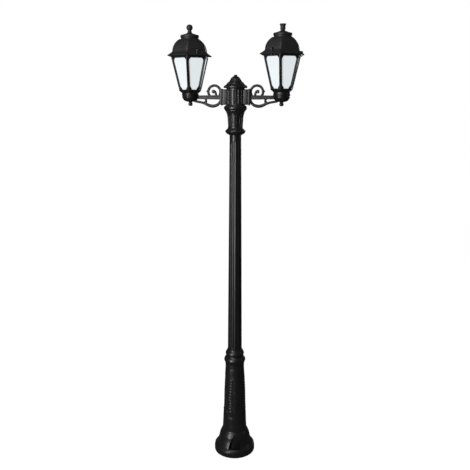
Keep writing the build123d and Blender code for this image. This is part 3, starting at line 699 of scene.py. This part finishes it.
def cap_relief(angle, z):
    """Pointed petals round the bell of the cap."""
    side = abs(off_front(angle, 8)) / (math.pi / 8)
    petal = smoothstep(1.0, 0.72, side + 0.55 * smoothstep(1946, 1962, z))
    body = smoothstep(1934.5, 1936.5, z) * smoothstep(1961, 1954, z)
    vein = 0.5 * smoothstep(0.12, 0.02, side)
    return body * (1.1 * petal * math.cos(side * 1.2) - vein - 0.5)


def hub_cover():
    outer = profile(
        [(33, 1907.5), (55, 1907.5)],
        [(57, 1909.5), (57, 1914)],
        [(56.6, 1916.5), (52.5, 1919.5)],
        [(52.5, 1919.5), (46, 1923), (42.6, 1926.5)],
        [(41.2, 1928.6), (40, 1932.5)],
        [
            (37, 1934), (32.8, 1936), (29.2, 1940.5), (25.8, 1945.5), (21.4, 1953), (16.4, 1958),
            (11.2, 1962),
        ],
        [(8.2, 1962.6), (7.4, 1963.2)],
        [(7.4, 1963.2), (8.5, 1965.4), (7.6, 1968), (4.6, 1969.6), (0.8, 1970)],
        radius=0.9,
    )
    inner = [(0.8, 1953), (14.5, 1950), (22, 1940), (29, 1925)]
    bell = lathe(dense(outer, 1.4), inner, 240, cap_relief)
    cutters = []
    for side in (-1, 1):
        for radius, low, high in ((4.7, 1931, 1962), (2.3, 1900, 1940)):
            cutters.append(moved(skin([round_ring(radius, z, 32) for z in (low, high)]), 0, side * 36.5))
    piece("hub_cover", [bell], BLACK, "post", ["hub_cap"], cutters=cutters)


hub()
hub_cover()


# ---- Arms ----

BAR_Z = 1864.25
CUP_TOP = 1884
HOOP_CENTRE = (103, 1890)
HOOP_R = 29.4
PLATE_IN, PLATE_OUT = 61.5, 71.5
PLATE_LOW, PLATE_HIGH = 1831, 1900
CUP_LINE = (
    [(14, 1843), (27, 1847), (35, 1854.5), (38, 1861)],
    [(40.6, 1863.2), (40.6, 1866.4)],
    [(38.4, 1868.4), (38.4, 1871)],
    [(41.6, 1872.8), (41.6, 1877)],
)


def disc_y(x, z, radius, half):
    """Disc with rounded rims and its axis along Y."""
    rings = []
    for y, r in ((-half, radius - 1.4), (-half + 0.5, radius - 0.4), (-half + 1.4, radius)):
        rings.append((y, r))
    rings += [(-y, r) for y, r in rings[::-1]]
    loop = [math.tau * j / 32 for j in range(32)]
    return skin([[(x + r * math.cos(a), y, z + r * math.sin(a)) for a in loop] for y, r in rings])


def bar_section(x, height):
    """Rounded bar section with a groove along each side."""
    h = height / 2
    half = [(7, -h), (7, -3.4), (5.7, -2.6), (5.7, 2.6), (7, 3.4), (7, h)]
    outline = soften(half + [(-y, z) for y, z in half[::-1]], 2.0, closed=True)
    return [(x, y, BAR_Z + z) for y, z in outline]


def right_hand_arm(lift):
    """Shapes of the arm that points along +X."""
    middle = (PLATE_IN + PLATE_OUT) / 2
    ends = [(4.6 * math.cos(a), 4.6 * math.sin(a)) for a in (0.5, 1.0, 1.57, 2.14, 2.64)]
    plate_line = [(PLATE_IN, PLATE_LOW), (PLATE_IN, PLATE_HIGH)]
    plate_line += [(middle - x, PLATE_HIGH + z) for x, z in ends]
    plate_line += [(PLATE_OUT, PLATE_HIGH), (PLATE_OUT, PLATE_LOW)]
    plate_line += [(middle + x, PLATE_LOW - z) for x, z in ends]
    shapes = [prism(plate_line, -20, 20)]
    shapes.append(skin([bar_section(x, 21.4 - 3.6 * (x - 71) / 115) for x in (70.5, 110, 150, 187)]))
    hoop = []
    for i in range(41):
        a = math.radians(214 - 262 * i / 40)
        hoop.append((HOOP_CENTRE[0] + HOOP_R * math.cos(a), HOOP_CENTRE[1] + HOOP_R * math.sin(a), 10))
    shapes.append(strip(hoop, 12.5))
    barb = [(129.5, 1893.5, 9), (134, 1893.8, 8.4), (138.5, 1892.6, 6), (142.5, 1891.2, 3.4)]
    shapes.append(strip(barb, 11.5))
    curl = [(94.5, 1868, 9.6), (95.6, 1880, 9.4), (100, 1891, 9), (108, 1894.6, 8.4), (113.6, 1890.6, 7)]
    shapes.append(strip(spline(curl), 12.5))
    shapes.append(disc_y(108.8, 1888.8, 6.2, 7))
    brace = [(70, 1856, 10.5), (75, 1843, 10.5), (86, 1830, 11.5), (101, 1824, 12.4), (116, 1823, 12.8)]
    brace += [(132, 1827, 12), (148, 1834.5, 10.6), (164, 1839.5, 9.6)]
    brace += [(180, 1842.5, 9.4), (203, 1847, 9.4)]
    shapes.append(strip(spline(brace), 12.5))
    web = [(148, 1861, 10), (144.2, 1852, 9), (144.2, 1842, 9), (149, 1832, 10)]
    shapes.append(strip(spline(web), 12))
    shapes.append(strip([(145, 1846, 6), (150, 1842.6, 6.4), (154.5, 1839.6, 4)], 11))
    top = CUP_TOP + lift
    rim = ([(39.9, 1879.6), (39.9, top)], [(39.9, top), (6.4, top)])
    outer = profile([(8, 1843), (14, 1843)], *CUP_LINE, *rim)
    inner = [(6.4, 1877 + lift), (27, 1877 + lift), (27, 1858), (20, 1850), (8, 1850)]
    shapes.append(moved(lathe(outer, inner, 128), ARM_REACH))
    return shapes


def right_hand_knob():
    line = profile(
        [(1, 1823), (5, 1823.6)],
        [(5, 1823.6), (8.6, 1826), (10.8, 1831), (10, 1836.5), (7.2, 1839.6)],
        [(7.2, 1839.6), (9.6, 1841)],
        [(9.6, 1841), (9.6, 1842.9)],
        [(7.9, 1843.2), (7.9, 1849.5)],
        [(7.9, 1849.5), (1, 1849.5)],
        radius=0.5,
    )
    return moved(lathe(line, columns=64), ARM_REACH)


def arms():
    for side in ("left", "right"):
        shapes = right_hand_arm(SEATS[side][1])
        knob = right_hand_knob()
        if side == "left":
            shapes = [flipped(shape) for shape in shapes]
            knob = flipped(knob)
        plate, *rest = shapes
        piece(f"arm_casting_{side}", rest, BLACK, "post", [f"arm_{side}"])
        piece(f"arm_plate_{side}", [plate], BLACK, "post", bevel=1.1)
        piece(f"arm_knob_{side}", [knob], BLACK, "post", [f"drop_knob_{side}"])


arms()


# ---- Lanterns, about their own axis, with the roof hinge on the +X flat ----

FLOOR_Z = 1896.0
PANE_TOP = 2047.0
RING_Z = 2054.4
FLOOR_FLAT = 49.0
RING_FLAT = 82.5
HINGE_R = 91.0
HINGE_Z = 2050.0
KNUCKLE_R = 4.5
SCREW_R = 88.5
SCREW_FACET = 240
LOBE_FOOT = 1899
LOBE = [(0, 16.8), (4, 16.4), (8, 14.6), (12, 12.4), (15, 10.4), (18, 9.5)]
BRACKET = [(0, 21.5), (3, 18.6), (6, 15), (10, 12), (14, 10.2), (18, 9.5)]


def cage_flat(z):
    """Half-width of the cage across the flats."""
    return FLOOR_FLAT + (RING_FLAT - FLOOR_FLAT) * (z - FLOOR_Z) / (PANE_TOP - FLOOR_Z)


def read_off(table, at):
    """Straight-line reading of a table of (position, value) rows."""
    for (a, low), (b, high) in zip(table, table[1:]):
        if at <= b:
            return low + (high - low) * max(at - a, 0) / (b - a)
    return table[-1][1]


def strut_half(z):
    """Reach of a strut from its corner over each face, wider at its foot and its head."""
    return max(read_off(spline(LOBE), z - LOBE_FOOT), read_off(spline(BRACKET), PANE_TOP - z))


def strut():
    """Strut wrapped round the cage's corner at 30 degrees, raised in the middle between two grooves."""
    levels = [1896.5 + 1.5 * i for i in range(15)] + [1928 + 15 * i for i in range(7)]
    levels += [2025 + 1.5 * i for i in range(16)]
    rings = []
    for z in levels:
        flat = cage_flat(z)
        corner = (flat, flat * math.tan(math.pi / 6))
        half = strut_half(z)
        front = [half * math.sin(math.pi / 2 * (i / 13 - 1)) for i in range(27)]
        stations = []
        for u in front:
            out = 1.2 * smoothstep(half, half - 1.4, abs(u)) - 1.9
            out += 1.2 * smoothstep(3.4, 1.6, abs(u)) - 1.0 * smoothstep(1.6, 0.4, abs(abs(u) - 4.8))
            stations.append((u, out))
        stations += [(u, -4.8) for u in (half, half / 2, 0.0, -half / 2, -half)]
        ring = []
        for u, out in stations:
            facing = math.pi / 3 * smoothstep(-1.2, 1.2, u)
            miter = 1 + 0.15 * smoothstep(1.2, 0.0, abs(u))
            x = corner[0] + out * miter * math.cos(facing)
            y = corner[1] + out * miter * math.sin(facing)
            if u < 0:
                y += u
            else:
                x -= u * math.cos(math.pi / 6)
                y += u / 2
            ring.append((x, y, z))
        rings.append(ring)
    return skin(rings)


def cage(side):
    seat = SEATS[side]
    bowl = profile(
        [(6.5, 1884.3), (39, 1884.3)],
        [(39, 1884.3), (41.0, 1886), (43.6, 1888.8), (47, 1891.8), (48.8, 1893.6)],
        [(50.4, 1894.6), (51.0, 1898)],
        [(49.9, 1899.8), (45.2, 1899.8)],
    )
    shapes = [hexed(bowl, [(44.2, 1896.2), (6.5, 1896.2)], lambda z: 16 + 50 * smoothstep(1884, 1896, z))]
    ring = profile(
        [(77.2, 2044.6), (81.4, 2044.6)],
        [(82.6, 2046.6), (82.6, RING_Z)],
        [(82.6, RING_Z), (77.5, RING_Z)],
    )
    shapes.append(hexed(ring, [(77.5, 2047)]))
    for k in range(6):
        shapes.append(turned_by(strut(), 60 * k))
    piece(f"cage_{side}", shapes, BLACK, f"lantern_{side}", [f"frame_{side}"], seat)
    lugs = []
    for face in (-1, 1):
        y = sorted((face * 7.4, face * 13))
        lugs.append(block((RING_FLAT - 3, HINGE_R), y, (HINGE_Z - 4.4, HINGE_Z + 4.2)))
        lugs.append(hinge_tube(2.05, *y))
    piece(f"hinge_lugs_{side}", lugs, BLACK, f"lantern_{side}", (), seat)
    ear = block((RING_FLAT - 3, SCREW_R + 6), (-6.5, 6.5), (2046.5, RING_Z))
    hole = moved(skin([round_ring(2.5, z, 24) for z in (2040, 2060)]), SCREW_R)
    turn = [turned_by(shape, SCREW_FACET) for shape in (ear, hole)]
    piece(f"screw_ear_{side}", turn[:1], BLACK, f"lantern_{side}", (), seat, bevel=0.8, cutters=turn[1:])


def along_y(shape):
    """Stand a shape's Z axis along Y."""
    return [(x, z, y) for x, y, z in shape[0]], shape[1]


def hinge_tube(bore, low, high):
    """Tube round the hinge axis, between two places along Y."""
    line = [(bore, low), (KNUCKLE_R, low), (KNUCKLE_R, high), (bore, high)]
    tube = lathe(line, [(bore, 0.5 * (low + high))], 32)
    return moved(along_y(tube), HINGE_R, 0, HINGE_Z)


def dome_line(flat, rise, low, top, count):
    line = []
    for i in range(count + 1):
        z = low + (top - low) * math.sin(math.pi / 2 * i / count)
        line.append((flat * math.sqrt(1 - ((z - low) / rise) ** 2), z))
    return line


def lid(side):
    """Domed roof with its rim, hinge strap and screw seat."""
    seat = SEATS[side]
    body = f"lid_{side}"
    outer = [(96, 2055), (99.3, 2055), (100, 2055.7), (100, 2057.2), (99.4, 2058.2)]
    outer += spline([(98, 2059.2), (91.5, 2063.2), (85.5, 2067.8), (81.0, 2071.6), (78.5, 2075)])
    outer += dome_line(78.3, 70.3, 2075.6, 2132, 18)
    outer += [(8, 2132), (8, 2128)]
    inner = dome_line(74.8, 66.9, 2072, 2128, 12)[::-1] + [(73.8, 2071.9), (73.8, 2057.2), (96, 2057.2)]
    shell = hexed(outer, inner, lambda z: 110 - 76 * smoothstep(2058, 2080, z))
    head_room = skin([round_ring(5.0, z, 32) for z in (2068.5, 2092)])
    shank_hole = skin([round_ring(2.3, z, 24) for z in (2050, 2070)])
    boss_line = profile(
        [(2.3, 2058), (5.6, 2058)],
        [(5.6, 2067.6), (5.0, 2068.5)],
        [(5.0, 2068.5), (2.3, 2068.5)],
        radius=0.4,
    )
    boss = lathe(boss_line, [(2.3, 2062)], 40)
    at_screw = [turned_by(moved(s, SCREW_R), SCREW_FACET) for s in (head_room, shank_hole, boss)]
    piece(f"dome_{side}", [shell], ROOF, body, [f"roof_{side}"], seat, cutters=at_screw[:2])
    piece(f"screw_seat_{side}", at_screw[2:], ROOF, body, (), seat)
    strap_line = [(86.6, 2058), (86.6, 2050), (89.2, 2046.4), (92.8, 2046.4), (95.4, 2050)]
    strap_line += [(95.5, 2067.5), (94, 2069.5), (84, 2070.5), (78, 2068), (78, 2062)]
    strap = soften(strap_line, 1.2, closed=True)
    piece(f"hinge_strap_{side}", [prism(strap, -5.6, 5.6)], ROOF, body, (), seat, bevel=0.8)
    piece(f"hinge_knuckle_{side}", [hinge_tube(2.1, -7, 7)], ROOF, body, (), seat, bevel=0.5)


def roof_cover(side):
    seat = SEATS[side]
    outer = profile(
        [(38, 2132), (42.2, 2132)],
        [(42.2, 2132), (41.6, 2136), (42.2, 2139.4)],
        [(43.9, 2141.4), (44.3, 2143)],
        [(44.3, 2148.8), (42.4, 2151.6)],
        [(42.4, 2151.6), (36, 2153), (27, 2155.8), (19, 2158.4), (14, 2160.4), (11, 2162.9)],
        [(11, 2162.9), (4.3, 2162.9)],
    )
    cover = lathe(outer, [(4.3, 2157), (24, 2151), (38, 2146)], 144)
    piece(f"roof_cover_{side}", [cover], ROOF, f"lid_{side}", [f"roof_cap_{side}"], seat)


def ball_finial():
    return profile(
        [(1, 2117), (4, 2117)],
        [(4, 2163), (9.8, 2163)],
        [(9.8, 2163), (10.6, 2164.6), (9.7, 2167), (9.1, 2170), (9.3, 2174.6)],
        [
            (9.3, 2174.6), (12.2, 2176.6), (14.4, 2180.6), (15, 2186), (13.9, 2192), (10.4, 2196.8),
            (5, 2199.5), (1, 2200),
        ],
        radius=0.5,
    )


def spool_finial():
    return profile(
        [(1, 2117), (4, 2117)],
        [(4, 2163), (9.8, 2163)],
        [(9.8, 2163), (9.8, 2165.5)],
        [(12.2, 2167.2), (12.6, 2168.6)],
        [(12.6, 2168.6), (12.6, 2171)],
        [(12.6, 2171), (12, 2173.4), (12.0, 2179), (12.4, 2185)],
        [(12.4, 2185), (15.2, 2188)],
        [(15.2, 2188), (15.2, 2191.4)],
        [(13.8, 2192.8), (1, 2192.8)],
        radius=0.7,
    )


def knurl(angle, z):
    """Straight knurling on the side of the thumbscrew's head."""
    head = smoothstep(2070.4, 2071.4, z) * smoothstep(2082.6, 2081.6, z)
    return -0.28 * (1 - math.cos(12 * angle)) * head


def thumbscrew(side):
    line = profile(
        [(0.8, 2049.5), (1.6, 2049.5)],
        [(2, 2050), (2, 2055.0)],
        [(3.2, 2055), (3.2, 2056.9)],
        [(2, 2056.9), (2, 2068.8)],
        [(3.4, 2068.8), (3.4, 2069.5)],
        [(3.4, 2069.5), (4.2, 2070.3)],
        [(4.2, 2082.7), (3.4, 2083.5)],
        [(3.4, 2083.5), (0.8, 2083.5)],
        radius=0.3,
    )
    screw = turned_by(moved(lathe(dense(line, 1.5), (), 96, knurl), SCREW_R), SCREW_FACET)
    finish = (FINISHES["black_screws"], "black_screws")
    piece(f"knurled_screw_{side}", [screw], finish, f"screw_{side}", [f"thumbscrew_{side}"], SEATS[side])


for side in ("left", "right"):
    cage(side)
    lid(side)
    roof_cover(side)
    knob = lathe({"left": ball_finial, "right": spool_finial}[side](), (), 80)
    piece(f"finial_turned_{side}", [knob], ROOF, f"lid_{side}", [f"finial_{side}"], SEATS[side])
    thumbscrew(side)


# ---- Finishes of the CAD nodes that stay ----

CAD_SLOTS = {
    "cap_screws": "black_screws",
    "section_screws": "black_screws",
    "earth_screw": "brass",
    "bulb_cap": "brass",
    "hub_gasket": "rubber",
    "arm_gasket": "rubber",
    "roof_gasket": "rubber",
    "riser_cable": "cable_sheath",
    "lead": "cable_sheath",
    "supply_connector": "black_plastic",
    "terminal_block": "white_plastic",
    "diffuser": "opal",
    "lampholder": "ceramic",
    "bulb_glass": "bulb_glass",
}
for name, node in nodes.items():
    kind = name.removesuffix("_left").removesuffix("_right")
    finish = FINISHES[CAD_SLOTS.get(kind, "steel")]
    node.data.materials.clear()
    node.data.materials.append(finish)
